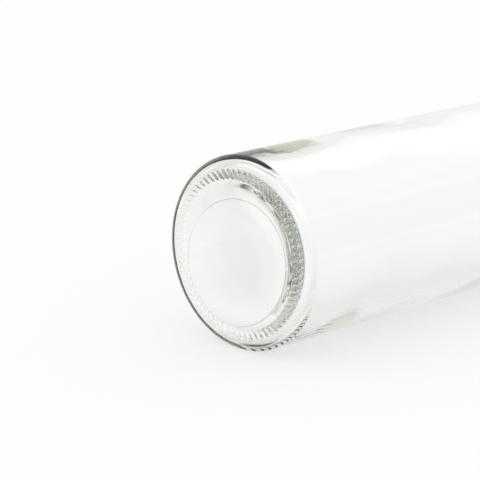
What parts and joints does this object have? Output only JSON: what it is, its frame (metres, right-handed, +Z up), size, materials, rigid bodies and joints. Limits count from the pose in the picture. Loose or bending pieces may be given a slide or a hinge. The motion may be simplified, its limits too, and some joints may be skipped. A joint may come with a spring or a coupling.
{
  "type": "glass bottle",
  "caption": "Clear round glass bottle lying on its side, with a ribbed base ring, a domed push-up, a sloping neck and a screw cap that unscrews and lifts off.",
  "frame": {"origin": "middle of the length, on the plane that the bottle lies on, under its axis", "axes": "+Y along the bottle's axis from the base to the mouth, +Z up from the plane that it lies on"},
  "size_m": [0.075, 0.3026, 0.0749],
  "materials": {
    "glass": "polished",
    "cap_aluminium": "satin",
    "band_aluminium": "satin",
    "liner_plastic": "matt"
  },
  "bodies": {
    "bottle": {"glass_bottle": "glass"},
    "liner": {"cap_liner": "liner_plastic"},
    "cap": {"cap_shell": "cap_aluminium"},
    "band": {"tamper_band": "band_aluminium"}
  },
  "joints": [
    {"name": "cap_lift", "type": "slide", "parent": "bottle", "child": "liner", "axis": [0, 1, 0], "range_m": [0, 0.0295]},
    {"name": "cap_turn", "type": "hinge", "parent": "liner", "child": "cap", "pos_m": [0, 0.14872, 0.03746], "axis": [0, 1, 0], "range_deg": [0, 2520]},
    {"name": "band_turn", "type": "hinge", "parent": "bottle", "child": "band", "pos_m": [0, 0.133, 0.03746], "axis": [0, 1, 0], "continuous": true}
  ],
  "couplings": [
    {"joint": "cap_lift", "follows": "cap_turn", "m_per_rad": 0.00066845}
  ]
}
